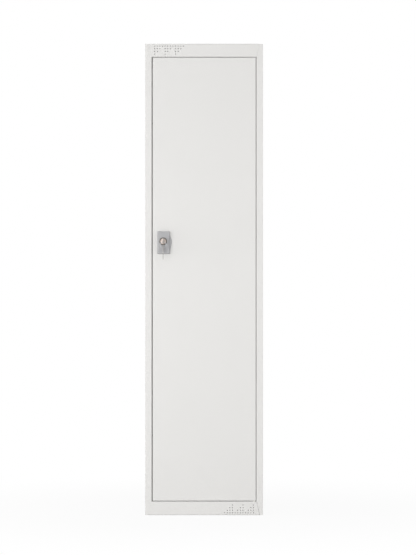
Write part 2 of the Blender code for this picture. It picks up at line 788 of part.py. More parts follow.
# Lock plug with its keyway, and the cam that its rear end turns
def lock_plug():
    seat = HOUSING_DEPTH - BEZEL_SEAT + FIT
    hole = CAM_SCREW_RADIUS + FIT
    hole_end = SHAFT_END + CAM_SCREW_LENGTH + FIT
    profile = [
        (0, FACE_OUT),
        (PLUG_FACE_RADIUS - PLUG_CHAMFER, FACE_OUT),
        (PLUG_FACE_RADIUS, FACE_OUT - PLUG_CHAMFER),
        (PLUG_FACE_RADIUS, seat),
        (PLUG_RADIUS, seat),
        (PLUG_RADIUS, -PLUG_BACK),
        (SHAFT_RADIUS, -PLUG_BACK),
        (SHAFT_RADIUS, SHAFT_END),
        (hole, SHAFT_END),
        (hole, hole_end),
        (0, hole_end),
    ]
    plug = turned("lock_plug", profile, FINE, NICKEL, FACING, (LOCK_X, FRONT, LOCK_Z))
    wide = KEY_SHEET / 2 + FIT
    high = BLADE_WIDTH / 2 + FIT
    mouth = FACE_OUT + PAST
    foot = BOW_OUT - KEY_LENGTH - FIT
    slot = rectangle(-wide, wide, -high, high)
    place = (LOCK_X, FRONT - (mouth + foot) / 2, LOCK_Z)
    boolean(plug, prism("lock_plug_keyway", [slot], mouth - foot, None, FACING, place))
    return plug


def lock_cam():
    half = CAM_WIDTH / 2
    bar = rounded(rectangle(-half, half, -half, CAM_REACH), CAM_CORNER, BEND_STEPS, closed=True)
    bore = circle(SHAFT_RADIUS + FIT, ROUND)
    place = (LOCK_X, (CAM_FRONT + CAM_BACK) / 2, LOCK_Z)
    return prism("lock_cam", [bar, bore], CAM_THICKNESS, ZINC, FACING, place)


def cam_screw():
    seat = FRONT - CAM_BACK - FIT
    tip = SHAFT_END + CAM_SCREW_LENGTH
    return screw("cam_screw", CAM_SCREW_RADIUS, CAM_SCREW_HEAD_RADIUS, CAM_SCREW_HEAD, tip, seat, LOCK_Z)


# Keys: a round bow, and a blade with cuts along one edge; the ring joins the two
def key_outline():
    """The blade runs from the bow's middle along the first axis."""
    half = BLADE_WIDTH / 2
    neck = math.asin(half / BOW_RADIUS)
    points = []
    for index, depth in enumerate(BITTING_DEPTHS):
        middle = BITTING_FIRST + index * BITTING_PITCH
        points.append((middle - BITTING_FLAT - depth / 2, -half))
        points.append((middle - BITTING_FLAT, -half + depth))
        points.append((middle + BITTING_FLAT, -half + depth))
        points.append((middle + BITTING_FLAT + depth / 2, -half))
    points.append((KEY_LENGTH - KEY_TIP, -half))
    points.append((KEY_LENGTH, 0))
    points.append((KEY_LENGTH - KEY_TIP, half))
    for step in range(FINE + 1):
        angle = neck + (2 * math.pi - 2 * neck) * step / FINE
        points.append((BOW_RADIUS * math.cos(angle), BOW_RADIUS * math.sin(angle)))
    return points


def key(name, turn, up):
    outlines = [key_outline(), circle(BOW_HOLE, ROUND)]
    return prism(name, outlines, KEY_SHEET, NICKEL, turn, (LOCK_X, FRONT - BOW_OUT, up))


def key_ring():
    bpy.ops.mesh.primitive_torus_add(
        major_radius=RING_RADIUS, minor_radius=RING_WIRE, major_segments=FINE, minor_segments=SMALL
    )
    torus = bpy.context.object
    mesh = torus.data
    mesh.name = "key_ring"
    bpy.data.objects.remove(torus)
    return placed("key_ring", mesh, ZINC, FACING, (LOCK_X, FRONT - BOW_OUT, RING_Z))


# Assembly: what moves hangs from an empty on its joint's axis
def carried(name, place, pieces, parent=None):
    """An empty on a joint's axis, with the pieces that turn or slide with it and their cutters."""
    axis = bpy.data.objects.new(name, None)
    parts.objects.link(axis)
    axis.location = place
    if parent:
        axis.parent = parent
        axis.matrix_parent_inverse = Matrix.Translation(parent["rest"]).inverted()
    axis["rest"] = place
    for piece in pieces:
        tools = [change.object for change in piece.modifiers if change.type == "BOOLEAN"]
        for held in [piece, *tools]:
            held.parent = axis
            held.matrix_parent_inverse = Matrix.Translation(place).inverted()
    return axis


side_panel("left_side_panel", -1)
side_panel("right_side_panel", 1)
back_panel()
end_tray("roof_panel", HEIGHT - TRAY_FLANGE, HEIGHT, -1)
end_tray("floor_panel", 0, TRAY_FLANGE, 1)
rail("top_rail", "top", -1)
rail("bottom_rail", "bottom", 1)
shelf()
coat_rail()
for word, hand in (("left", -1), ("right", 1)):
    shelf_bracket(word, hand)
    rail_socket(word, hand)
hinge_washer()
door_buffer("upper", DOOR_TOP - BUFFER_INSET)
door_buffer("lower", DOOR_BOTTOM + BUFFER_INSET)

door_pieces = [pivot("top"), pivot("bottom"), door_panel(), door_stiffener()]
door_pieces += [lock_housing(), lock_bezel(), lock_nut()]
door_pieces += [lock_screw(word, up) for word, up in lock_screw_heights().items()]
plug_pieces = [lock_plug(), lock_cam(), cam_screw()]

door_axis = carried("door_axis", (HINGE_X, HINGE_Y, 0), door_pieces)
lock_axis = carried("lock_axis", (LOCK_X, FRONT, LOCK_Z), plug_pieces, door_axis)
lock_key = key("lock_key", ACROSS, LOCK_Z)
key_slide = carried("key_slide", (LOCK_X, FRONT - BOW_OUT, LOCK_Z), [lock_key], lock_axis)
ring_axis = carried("ring_axis", (LOCK_X, FRONT - BOW_OUT, RING_TOP), [key_ring()], key_slide)
spare_key = key("spare_key", TO_RIGHT, SPARE_Z)
carried("spare_axis", (LOCK_X, FRONT - BOW_OUT, RING_BOTTOM), [spare_key], ring_axis)

for piece in parts.objects:
    if piece.type == "MESH":
        piece.data.shade_smooth()
        piece.data.set_sharp_from_angle(angle=math.radians(30))
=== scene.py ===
"""The looks of a single-door steel locker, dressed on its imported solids.

Metres, +Z up; the door faces -Y, locks on the left and hangs on the right.
"""

import json
import math

import bmesh
import bpy
import numpy as np
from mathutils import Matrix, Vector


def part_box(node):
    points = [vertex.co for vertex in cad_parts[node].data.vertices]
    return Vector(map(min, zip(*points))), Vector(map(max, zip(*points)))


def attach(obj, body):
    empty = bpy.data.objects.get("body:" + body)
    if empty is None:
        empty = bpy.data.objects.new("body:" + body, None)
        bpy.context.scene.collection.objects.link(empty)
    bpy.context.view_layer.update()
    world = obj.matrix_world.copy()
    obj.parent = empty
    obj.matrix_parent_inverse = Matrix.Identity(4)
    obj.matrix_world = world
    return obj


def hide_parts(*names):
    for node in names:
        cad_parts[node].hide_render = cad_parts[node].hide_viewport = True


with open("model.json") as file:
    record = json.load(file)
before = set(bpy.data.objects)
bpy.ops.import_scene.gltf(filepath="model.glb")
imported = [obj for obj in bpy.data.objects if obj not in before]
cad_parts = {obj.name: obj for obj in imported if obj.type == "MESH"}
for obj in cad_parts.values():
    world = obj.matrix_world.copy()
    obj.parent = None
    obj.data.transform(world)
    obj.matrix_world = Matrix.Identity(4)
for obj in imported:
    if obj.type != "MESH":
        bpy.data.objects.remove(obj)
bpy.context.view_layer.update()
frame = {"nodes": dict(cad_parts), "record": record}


# The photograph's view
# A straight front view from far off, so that neither a side nor the roof shows.
# The picture covers about 2.1 m at the door's face, with the locker just left of its middle.
VIEW_DISTANCE = 9.0
VIEW_ACROSS = 0.0151
VIEW_UP = 0.9076
VIEW_HEIGHT = 2.1193
SENSOR_MM = 36.0

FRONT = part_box("door_panel")[0].y
view = bpy.data.cameras.new("front_view")
view.sensor_width = SENSOR_MM
view.lens = SENSOR_MM * VIEW_DISTANCE / VIEW_HEIGHT
camera = bpy.data.objects.new("front_view", view)
camera.location = (VIEW_ACROSS, FRONT - VIEW_DISTANCE, VIEW_UP)
camera.rotation_euler = (math.pi / 2, 0, 0)
bpy.context.scene.collection.objects.link(camera)
bpy.context.scene.camera = camera
bpy.context.scene.view_settings.view_transform = "Standard"


# The studio
# A pale floor that runs out to a white surround, soft lamps at the front left and right, a narrow one almost
# in line with the door at the far left, weak ones overhead and behind, and an even glow from all round.
# The floor is drawn almost white, and keeps a soft shadow.
FLOOR_DROP = 0.0005
FLOOR_REACH = 14.0
FLOOR_COLOUR = (0.74, 0.74, 0.74, 1)
FLOOR_GLOW = (0.92, 1.0)
GLOW_REACH = (0.3, 1.7)
SURROUND_GLOW = (0.52, 1.0)
WHITE = (1, 1, 1, 1)
AIM = (0, -0.2, 0.95)
LAMP_UP = 1.05
LAMP_HIGH = 1.8
# Each lamp's place, its width and its watts
LAMPS = {
    "key_lamp": ((-1.6, -3.4, LAMP_UP), 1.8, 41),
    "fill_lamp": ((2.5, -3.0, LAMP_UP), 3.2, 26),
    "side_lamp": ((-3.5, -0.6, LAMP_UP), 1.0, 31),
    "top_lamp": ((0, 0.05, 3.9), 2.4, 15),
    "rear_lamp": ((1.2, 3.6, LAMP_UP), 3.2, 24),
}


class Shade:
    """One socket of a node tree, so that shader maths reads as an expression on values."""

    def __init__(self, tree, socket=None):
        self.tree = tree
        self.socket = socket

    def node(self, kind, settings=None, inputs=None, output=0):
        """Adds a node: its settings first, then the value or link of each socket; gives one output."""
        made = self.tree.nodes.new(kind)
        for name, setting in (settings or {}).items():
            setattr(made, name, setting)
        for name, given in (inputs or {}).items():
            if isinstance(given, Shade):
                self.tree.links.new(given.socket, made.inputs[name])
            else:
                made.inputs[name].default_value = given
        return Shade(self.tree, made.outputs[output] if made.outputs else None)

    def maths(self, operation, *others):
        """A Math node on this value and any others that the operation takes."""
        return self.node("ShaderNodeMath", {"operation": operation}, dict(enumerate((self, *others))))

    def vector(self, operation, *others, output=0):
        """A Vector Math node on this vector and any others that the operation takes."""
        given = dict(enumerate((self, *others)))
        return self.node("ShaderNodeVectorMath", {"operation": operation}, given, output)

    def step(self, low, high):
        """0 below the low value and 1 above the high one, with a smooth rise between them."""
        ends = dict(enumerate((self, low, high)))
        return self.node("ShaderNodeMapRange", {"interpolation_type": "SMOOTHSTEP"}, ends)

    def __add__(self, other):
        return self.maths("ADD", other)

    def __mul__(self, other):
        return self.maths("MULTIPLY", other)

    def __rsub__(self, other):
        return self * -1 + other

    __radd__ = __add__
    __rmul__ = __mul__


def between(ends, share):
    """A value that runs from the first end to the second as a share runs from 0 to 1."""
    return ends[0] + (ends[1] - ends[0]) * share


def finish(name):
    """A new material with an empty tree, and the object's own coordinates in it."""
    material = bpy.data.materials.new(name)
    material.use_nodes = True
    material.node_tree.nodes.clear()
    return material, Shade(material.node_tree).node("ShaderNodeTexCoord", output="Object")


def seen_directly(start):
    """1 for rays from the camera, off gloss or through glass, and 0 for those that light the object."""
    kinds = ("Is Camera Ray", "Is Glossy Ray", "Is Transmission Ray")
    camera_ray, glossy_ray, passed_ray = (start.node("ShaderNodeLightPath", output=kind) for kind in kinds)
    return 1 - (1 - camera_ray) * (1 - glossy_ray) * (1 - passed_ray)


def studio_floor():
    """Plain paint mixed with white light where it is looked at, so that only the shadow shows."""
    material, place = finish("studio_floor")
    paint = place.node("ShaderNodeBsdfDiffuse", inputs={"Color": FLOOR_COLOUR})
    white = place.node("ShaderNodeEmission", inputs={"Color": WHITE, "Strength": 1})
    glow = between(FLOOR_GLOW, place.vector("LENGTH", output="Value").step(*GLOW_REACH))
    drawn = place.node("ShaderNodeMixShader", inputs={0: seen_directly(place) * glow, 1: paint, 2: white})
    place.node("ShaderNodeOutputMaterial", inputs={"Surface": drawn})
    return material


def softbox(name, place, wide, watts):
    """A flat lamp of even light, turned to face the locker."""
    lamp = bpy.data.lights.new(name, "AREA")
    lamp.shape = "RECTANGLE"
    lamp.size = wide
    lamp.size_y = LAMP_HIGH
    lamp.energy = watts
    stand = bpy.data.objects.new(name, lamp)
    stand.location = place
    towards = np.subtract(AIM, place)
    flat = math.hypot(towards[0], towards[1])
    stand.rotation_euler = (math.atan2(flat, -towards[2]), 0, math.atan2(-towards[0], towards[1]))
    bpy.context.scene.collection.objects.link(stand)


floor_mesh = bpy.data.meshes.new("studio_floor")
floor_ends = np.array([(-1, -1), (1, -1), (1, 1), (-1, 1)]) * FLOOR_REACH
floor_mesh.from_pydata([(x, y, -FLOOR_DROP) for x, y in floor_ends], [], [(0, 1, 2, 3)])
floor_mesh.materials.append(studio_floor())
floor = bpy.data.objects.new("studio_floor", floor_mesh)
bpy.context.scene.collection.objects.link(floor)

for name, (place, wide, watts) in LAMPS.items():
    softbox(name, place, wide, watts)

world = bpy.data.worlds.new("white_surround")
world.use_nodes = True
world.node_tree.nodes.clear()
start = Shade(world.node_tree)
strength = between(SURROUND_GLOW, seen_directly(start))
backdrop = start.node("ShaderNodeBackground", inputs={"Color": WHITE, "Strength": strength})
start.node("ShaderNodeOutputWorld", inputs={"Surface": backdrop})
bpy.context.scene.world = world


# The painted sheet: carcass, door, shelf and brackets
# Folded and spot-welded mild steel, 1 mm thick, sprayed with a fine white-grey powder and stoved.
# The coat is semi-matt, with a shallow orange peel a few millimetres across and hardly any change of tone.
PAINT_COLOUR = (0.80, 0.792, 0.775, 1)
PAINT_SHADE = (0.775, 0.767, 0.749, 1)
PAINT_SHARE = 0.5
PAINT_ROUGHNESS = (0.40, 0.52)
DRIFT_SCALE = 5
PEEL_SCALE = 320
PEEL_FINE_SCALE = 1100
PEEL_FINE_SHARE = 0.4
PEEL_DEPTH = 0.0004
SHARP_ANGLE = math.radians(38)
MERGE_DISTANCE = 0.000001
PAINTED_NODES = (
    "left_side_panel",
    "right_side_panel",
    "back_panel",
    "roof_panel",
    "floor_panel",
    "shelf",
    "shelf_bracket_left",
    "shelf_bracket_right",
    "door_panel",
    "door_stiffener",
)


def mottle(place, scale, detail=2.0):
    """Cloudy noise from 0 to 1, with its lumps about 1 / scale metres across."""
    return place.node("ShaderNodeTexNoise", inputs={"Vector": place, "Scale": scale, "Detail": detail})


def blended(first, second, share):
    """A mix of two colours by a share from 0 to 1."""
    return share.node("ShaderNodeMix", {"data_type": "RGBA"}, {0: share, 6: first, 7: second}, output=2)


def bumped(height, depth, strength):
    """A surface pressed in and out by a height from 0 to 1 times the depth in metres."""
    return height.node("ShaderNodeBump", inputs={"Height": height, "Distance": depth, "Strength": strength})


def surfaced(material, place, sockets):
    """Closes a material with a Principled shader whose sockets are given."""
    shader = place.node("ShaderNodeBsdfPrincipled", inputs=sockets)
    place.node("ShaderNodeOutputMaterial", inputs={"Surface": shader})
    return material


def powder_coat():
    """Orange peel from two sizes of noise; tone and gloss drift over hand-sized patches."""
    material, place = finish("white_powder_coat")
    peel = mottle(place, PEEL_SCALE) + mottle(place, PEEL_FINE_SCALE, detail=0) * PEEL_FINE_SHARE
    drift = mottle(place, DRIFT_SCALE)
    sockets = {
        "Base Color": blended(PAINT_COLOUR, PAINT_SHADE, drift * PAINT_SHARE),
        "Roughness": between(PAINT_ROUGHNESS, drift),
        "Normal": bumped(peel, PEEL_DEPTH, strength=0.8),
    }
    return surfaced(material, place, sockets)


PAINT = powder_coat()


def evened(piece):
    """Smooth shading that follows the larger faces, with hard edges where faces meet at a steep angle."""
    piece.data.shade_smooth()
    piece.data.set_sharp_from_angle(angle=SHARP_ANGLE)
    piece.modifiers.new("evened", "WEIGHTED_NORMAL").keep_sharp = True
    return piece


def stands_for(piece, node):
    """Puts a piece in a node's place: hides the node, and sets the piece on the node's body."""
    bodies = frame["record"]["behaviour"]["bodies"]
    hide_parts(node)
    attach(piece, next(body for body, nodes in bodies.items() if node in nodes))
    return piece


def smoothed(node, material):
    """A copy of a folded solid with its facets joined, so that its bends shade as curves."""
    mesh = frame["nodes"][node].data.copy()
    work = bmesh.new()
    work.from_mesh(mesh)
    bmesh.ops.remove_doubles(work, verts=work.verts, dist=MERGE_DISTANCE)
    work.to_mesh(mesh)
    work.free()
    mesh.materials.clear()
    mesh.materials.append(material)
    piece = bpy.data.objects.new(f"{node}_sheet", mesh)
    bpy.context.scene.collection.objects.link(piece)
    return stands_for(evened(piece), node)


for node in PAINTED_NODES:
    smoothed(node, PAINT)


# Top and bottom rails
# One stamping used twice, the lower one turned half round: a flange, the fascia with three triangles of
# punched vents, the return over the door and a stop lip, folded from the same sheet. Its slanted ends meet
# the stiles, hard up at the left and with a narrow seam at the right, wider below than above.
SHEET = 0.001
FIT = 0.0003
BEND = 0.001
BEND_STEPS = 9
STILE = 0.0252
STOP_LIP = 0.012
RAIL_FLANGE = 0.030
RAIL_STOP = 0.0238
SEAM_EDGE = 0.012
LEFT_SEAM = 0.0001
TOP_SEAM = 0.0004
BOTTOM_SEAM = 0.0007
VENT_RADIUS = 0.0017
VENT_PITCH = 0.010
VENT_SIDE = 0.0362
VENT_EDGE = 0.0089
VENT_GROUPS = 3
VENT_ROWS = 4
PIN_HOLE = 0.0025
DRILL_REACH = 0.003
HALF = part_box("right_side_panel")[1].x


def middle_of(node):
    """The middle of a node's box."""
    low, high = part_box(node)
    return (low + high) / 2


def skinned(name, grids, material):
    """One closed mesh over grids of points, with a quad between neighbours along rows and columns.

    Rows that meet are merged, so that seams and poles close, and all faces are turned outwards.
    """
    corners, quads, count = [], [], 0
    for grid in grids:
        index = count + np.arange(grid[..., 0].size).reshape(grid.shape[:2])
        around = [index[:-1, :-1], index[:-1, 1:], index[1:, 1:], index[1:, :-1]]
        quads.append(np.stack(around, axis=-1).reshape(-1, 4))
        corners.append(grid.reshape(-1, 3))
        count += index.size
    mesh = bpy.data.meshes.new(name)
    mesh.from_pydata(np.concatenate(corners).tolist(), [], np.concatenate(quads).tolist())
    work = bmesh.new()
    work.from_mesh(mesh)
    bmesh.ops.remove_doubles(work, verts=work.verts, dist=MERGE_DISTANCE)
    bmesh.ops.dissolve_degenerate(work, edges=work.edges, dist=MERGE_DISTANCE)
    bmesh.ops.recalc_face_normals(work, faces=work.faces)
    work.to_mesh(mesh)
    work.free()
    mesh.materials.append(material)
    piece = bpy.data.objects.new(name, mesh)
    bpy.context.scene.collection.objects.link(piece)
    return piece


def spun(profile, centre, axis, steps=64):
    """Rows of (radius, height) turned about an axis: each becomes a ring at its height along the axis."""
    profile, axis = np.asarray(profile, dtype=float), np.asarray(axis, dtype=float)
    side = np.roll(axis, 1)
    angles = np.linspace(0, 2 * math.pi, steps + 1)[:, None]
    spokes = np.cos(angles) * side + np.sin(angles) * np.cross(axis, side)
    return np.asarray(centre) + profile[:, 1, None, None] * axis + profile[:, 0, None, None] * spokes


def drill(centre, axis, radius, reach):
    """A round bit about its middle, as a turned profile."""
    return spun([(0, -reach), (radius, -reach), (radius, reach), (0, reach)], centre, axis, steps=32)


def drilled(piece, bits):
    """The piece with the bits cut out of it, as one finished mesh."""
    tool = skinned("bits", bits, piece.data.materials[0])
    cut = piece.modifiers.new("drilled", "BOOLEAN")
    cut.solver = "EXACT"
    cut.object = tool
    cut_piece = piece.evaluated_get(bpy.context.evaluated_depsgraph_get())
    piece.data = bpy.data.meshes.new_from_object(cut_piece)
    piece.modifiers.clear()
    bpy.data.objects.remove(tool)
    return piece


def folded(corners, bend, steps):
    """The middle line of a folded sheet, and the unit normals to its left.

    Straight runs are joined by true arcs: each arc's middle lies a bend radius to the inside of its corner,
    and the normal turns evenly from one run's to the next's.
    """
    corners = np.asarray(corners, dtype=float)
    runs = np.diff(corners, axis=0)
    runs = runs / np.linalg.norm(runs, axis=1, keepdims=True)
    lefts = np.stack([-runs[:, 1], runs[:, 0]], axis=1)
    turns = np.arctan2(np.sum(lefts[:-1] * runs[1:], axis=1), np.sum(runs[:-1] * runs[1:], axis=1))
    inside = np.sign(turns)[:, None] * bend
    middles = corners[1:-1] - runs[:-1] * bend * np.tan(np.abs(turns) / 2)[:, None] + inside * lefts[:-1]
    angles = (turns[:, None] * np.linspace(0, 1, steps))[..., None]
    normals = np.cos(angles) * lefts[:-1, None] - np.sin(angles) * runs[:-1, None]
    arcs = middles[:, None] - inside[:, None] * normals
    line = np.concatenate([corners[:1], arcs.reshape(-1, 2), corners[-1:]])
    return line, np.concatenate([lefts[:1], normals.reshape(-1, 2), lefts[-1:]])


def rail(name, sign, vent_side, right_seam):
    """The folded section carried across the locker, each of its points running between the slanted ends.

    An end's distance from the middle grows evenly from the door opening's corner to the locker's end, less
    the seam. The sign is 1 above the door and -1 below it. The vents' side is -1 at the left and 1 at the
    right.
    """
    low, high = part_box(name)
    flange, lip_end = (high.z, low.z) if sign > 0 else (low.z, high.z)
    inner = lip_end + sign * STOP_LIP
    edge = flange + sign * (SHEET + FIT)
    half = SHEET / 2
    corners = [
        (FRONT + RAIL_FLANGE, flange - sign * half),
        (FRONT + half, flange - sign * half),
        (FRONT + half, inner + sign * half),
        (FRONT + RAIL_STOP + half, inner + sign * half),
        (FRONT + RAIL_STOP + half, lip_end),
    ]
    line, normals = folded(corners, BEND, BEND_STEPS)
    section = np.concatenate([line + normals * half, (line - normals * half)[::-1]])
    section = np.concatenate([section, section[:1]])
    corner_x = HALF - STILE + SHEET
    rise = (section[:, 1] - inner + sign * FIT) / (edge - inner + sign * FIT)
    reach = corner_x + (HALF - SEAM_EDGE - corner_x) * rise
    ends = (LEFT_SEAM - reach, reach - right_seam)
    sweep = np.stack([np.stack([end, *section.T], axis=-1) for end in ends], axis=1)
    count = len(line)
    caps = [np.stack([sweep[:count, end], sweep[count:-1, end][::-1]]) for end in (0, 1)]
    rows, columns = np.nonzero(np.add.outer(np.arange(VENT_ROWS), np.arange(VENT_ROWS)) < VENT_ROWS)
    steps = (columns + VENT_ROWS * np.arange(VENT_GROUPS)[:, None]).ravel()
    vents_x = vent_side * (HALF - VENT_SIDE - steps * VENT_PITCH)
    vents_z = edge - sign * (VENT_EDGE + np.tile(rows, VENT_GROUPS) * VENT_PITCH)
    bits = [drill((x, FRONT, z), (0, 1, 0), VENT_RADIUS, DRILL_REACH) for x, z in zip(vents_x, vents_z)]
    pivot = middle_of("top_hinge_pin")
    bits.append(drill((pivot.x, pivot.y, inner), (0, 0, 1), PIN_HOLE, DRILL_REACH))
    piece = drilled(skinned(f"{name}_channel", [sweep, *caps], PAINT), bits)
    return stands_for(evened(piece), name)


rail("top_rail", 1, -1, TOP_SEAM)
rail("bottom_rail", -1, 1, BOTTOM_SEAM)


# Rivets through the sides
# Blind rivets of zinc-plated steel: a domed head drawn up against what it holds, with the broken end of the
# drawing pin sunk in its middle. Four carry the shelf brackets, and two the sockets of the coat rail.
RIVET_RADIUS = 0.002
RIVET_HEAD_RADIUS = 0.004
RIVET_HEAD = 0.0014
RIVET_RIM = 0.0003
PIN_END_RADIUS = 0.0011
PIN_END_SUNK = 0.0006
PIN_END_CROWN = 0.0002
DOME_STEPS = 12
RIVETED_NODES = (
    "shelf_rivet_left_front",
    "shelf_rivet_left_rear",
    "shelf_rivet_right_front",
    "shelf_rivet_right_rear",
    "rail_rivet_left",
    "rail_rivet_right",
)
ZINC_COLOUR = (0.60, 0.60, 0.62, 1)
ZINC_SHADE = (0.50, 0.505, 0.53, 1)
ZINC_ROUGHNESS = (0.40, 0.58)
ZINC_CLOUD_SCALE = 90
ZINC_GRAIN_SCALE = 1800
ZINC_GRAIN_DEPTH = 0.00002


def zinc_plate():
    """Soft-shining plate with a fine grain, whose tone and gloss drift over patches of a centimetre."""
    material, place = finish("bright_zinc_plate")
    cloud = mottle(place, ZINC_CLOUD_SCALE, detail=4)
    sockets = {
        "Base Color": blended(ZINC_COLOUR, ZINC_SHADE, cloud),
        "Metallic": 1,
        "Roughness": between(ZINC_ROUGHNESS, cloud),
        "Normal": bumped(mottle(place, ZINC_GRAIN_SCALE), ZINC_GRAIN_DEPTH, strength=0.3),
    }
    return surfaced(material, place, sockets)


ZINC = zinc_plate()


def rivet(node):
    """A profile turned about the rivet's axis: tail, shank, flat seat, half-ellipse dome and sunk pin."""
    low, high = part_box(node)
    inward, tail = (-1, high.x) if low.x > 0 else (1, low.x)
    seat = high.x - low.x - RIVET_HEAD
    angles = np.linspace(0, math.acos(PIN_END_RADIUS / RIVET_HEAD_RADIUS), DOME_STEPS)
    rise = seat + RIVET_RIM + np.sin(angles) * (RIVET_HEAD - RIVET_RIM)
    dome = np.stack([np.cos(angles) * RIVET_HEAD_RADIUS, rise], axis=1)
    foot = [(0, 0), (RIVET_RADIUS, 0), (RIVET_RADIUS, seat), (RIVET_HEAD_RADIUS, seat)]
    sunk = seat + RIVET_HEAD - PIN_END_SUNK
    profile = np.concatenate([foot, dome, [(PIN_END_RADIUS, sunk), (0, sunk + PIN_END_CROWN)]])
    middle = middle_of(node)
    rings = spun(profile, (tail, middle.y, middle.z), (inward, 0, 0), steps=32)
    return stands_for(evened(skinned(f"{node}_domed", [rings], ZINC)), node)


for node in RIVETED_NODES:
    rivet(node)


# Coat rail and its sockets
# A drawn steel tube, zinc plated, that drops into a cup on each side of the locker. Each cup has a flange
# against the side, and a rivet through its base.
TUBE_WALL = 0.0012
TUBE_EDGE = 0.0003
CUP_BORE = 0.0113
CUP_WALL = 0.003
CUP_BASE = 0.003
CUP_DEPTH = 0.014
CUP_FLANGE = 0.005
CUP_HOLE = 0.0023
CUP_EDGE = 0.0008


def set_back(corner, other, reach):
    """The point a reach from a corner on the way to another one, and no further than half way there."""
    way = other - corner
    return corner + way * np.minimum(reach / np.linalg.norm(way, axis=-1, keepdims=True), 0.5)


def curved(before, corner, after, steps):
    """A curve: (1 - t)^2 of the point before a corner, 2t (1 - t) of the corner, t^2 of the point after."""
    share = np.linspace(0, 1, steps)[:, None]
    return (1 - share) ** 2 * before + 2 * share * (1 - share) * corner + share**2 * after


def softened(path, reach, steps=5):
    """A path whose inner corners are each replaced by a curve from a reach before to a reach after."""
    path = np.asarray(path, dtype=float)
    corner = path[1:-1, None]
    before, after = (set_back(corner, other[:, None], reach) for other in (path[:-2], path[2:]))
    curves = curved(before, corner, after, steps)
    return np.concatenate([path[:1], curves.reshape(-1, path.shape[1]), path[-1:]])


def coat_rail():
    """A ring-shaped section turned about the rail's axis, with its ends' edges broken."""
    low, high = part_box("coat_rail")
    outer = (high.z - low.z) / 2
    bore = outer - TUBE_WALL
    profile = [(bore, 0), (bore, low.x), (outer, low.x), (outer, high.x), (bore, high.x), (bore, 0)]
    middle = middle_of("coat_rail")
    rings = spun(softened(profile, TUBE_EDGE), (0, middle.y, middle.z), (1, 0, 0))
    return stands_for(evened(skinned("coat_rail_tube", [rings], ZINC)), "coat_rail")


def socket(node):
    """A cup turned about the rail's axis: flange, wall, rim, bore, base and the rivet's hole."""
    low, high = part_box(node)
    inward, back = (-1, high.x) if low.x > 0 else (1, low.x)
    wall = CUP_BORE + CUP_WALL
    flange = wall + CUP_FLANGE
    profile = [
        (wall, 0),
        (flange, 0),
        (flange, CUP_BASE),
        (wall, CUP_BASE),
        (wall, CUP_DEPTH),
        (CUP_BORE, CUP_DEPTH),
        (CUP_BORE, CUP_BASE),
        (CUP_HOLE, CUP_BASE),
        (CUP_HOLE, 0),
        (wall, 0),
    ]
    middle = middle_of(node)
    rings = spun(softened(profile, CUP_EDGE), (back, middle.y, middle.z), (inward, 0, 0))
    return stands_for(evened(skinned(f"{node}_cup", [rings], ZINC)), node)


coat_rail()
socket("rail_socket_left")
socket("rail_socket_right")


# Pivot hinge
# A stiffening plate inside each rail carries a turned steel pin, whose end runs in a nylon sleeve in the
# door's edge. A nylon washer carries the door's weight, and shows in the gap under its hinge side.
PIN_SHANK = 0.0022
PIN_HEAD_RADIUS = 0.0033
PIN_HEAD = 0.0015
PIN_EDGE = 0.0004
SLEEVE_EDGE = 0.0002
NYLON_COLOUR = (0.80, 0.78, 0.72, 1)
NYLON_SHADE = (0.72, 0.69, 0.62, 1)
NYLON_ROUGHNESS = (0.42, 0.57)
NYLON_FLOW_SCALE = 240
NYLON_GRAIN_SCALE = 3000
NYLON_GRAIN_DEPTH = 0.00002


def natural_nylon():
    """A milky off-white with faint flow marks and a soft sheen."""
    material, place = finish("natural_nylon")
    flow = mottle(place, NYLON_FLOW_SCALE, detail=3)
    sockets = {
        "Base Color": blended(NYLON_COLOUR, NYLON_SHADE, flow),
        "Roughness": between(NYLON_ROUGHNESS, flow),
        "Normal": bumped(mottle(place, NYLON_GRAIN_SCALE), NYLON_GRAIN_DEPTH, strength=0.3),
    }
    return surfaced(material, place, sockets)


NYLON = natural_nylon()


def hinge_pin(node, outward):
    """A headed pin turned about the hinge's axis; outward is the way from its tip to its head."""
    low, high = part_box(node)
    tip = low.z if outward > 0 else high.z
    length = high.z - low.z
    neck = length - PIN_HEAD
    profile = [
        (0, 0),
        (PIN_SHANK, 0),
        (PIN_SHANK, neck),
        (PIN_HEAD_RADIUS, neck),
        (PIN_HEAD_RADIUS, length),
        (0, length),
    ]
    middle = middle_of(node)
    rings = spun(softened(profile, PIN_EDGE), (middle.x, middle.y, tip), (0, 0, outward), steps=32)
    return stands_for(evened(skinned(f"{node}_turned", [rings], ZINC)), node)


def sleeve(node, bore):
    """A ring turned about the hinge's axis, with broken edges."""
    low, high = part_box(node)
    outer = (high.x - low.x) / 2
    middle = middle_of(node)
    join = (bore, middle.z)
    profile = [join, (bore, low.z), (outer, low.z), (outer, high.z), (bore, high.z), join]
    rings = spun(softened(profile, SLEEVE_EDGE), (middle.x, middle.y, 0), (0, 0, 1), steps=48)
    return stands_for(evened(skinned(f"{node}_moulded", [rings], NYLON)), node)


smoothed("top_pivot_plate", ZINC)
smoothed("bottom_pivot_plate", ZINC)
hinge_pin("top_hinge_pin", 1)
hinge_pin("bottom_hinge_pin", -1)
for node in ("top_hinge_bush", "bottom_hinge_bush", "hinge_washer"):
    sleeve(node, PIN_HOLE)


# Door buffers
# Two round rubber stops on the lock side's stop lip, pressed into place, that take the door as it shuts.
# The rubber is dark grey and matt, with a shallow dish in its domed face.
BUFFER_RIM = 0.0011
BUFFER_DISH = 0.0003
DISH_SHARE = 0.5
BUFFER_STEPS = 24
RUBBER_COLOUR = (0.085, 0.085, 0.088, 1)
RUBBER_SHADE = (0.12, 0.12, 0.12, 1)
RUBBER_ROUGHNESS = (0.70, 0.90)
RUBBER_BLOOM_SCALE = 500
RUBBER_GRAIN_SCALE = 4000
RUBBER_GRAIN_DEPTH = 0.00004


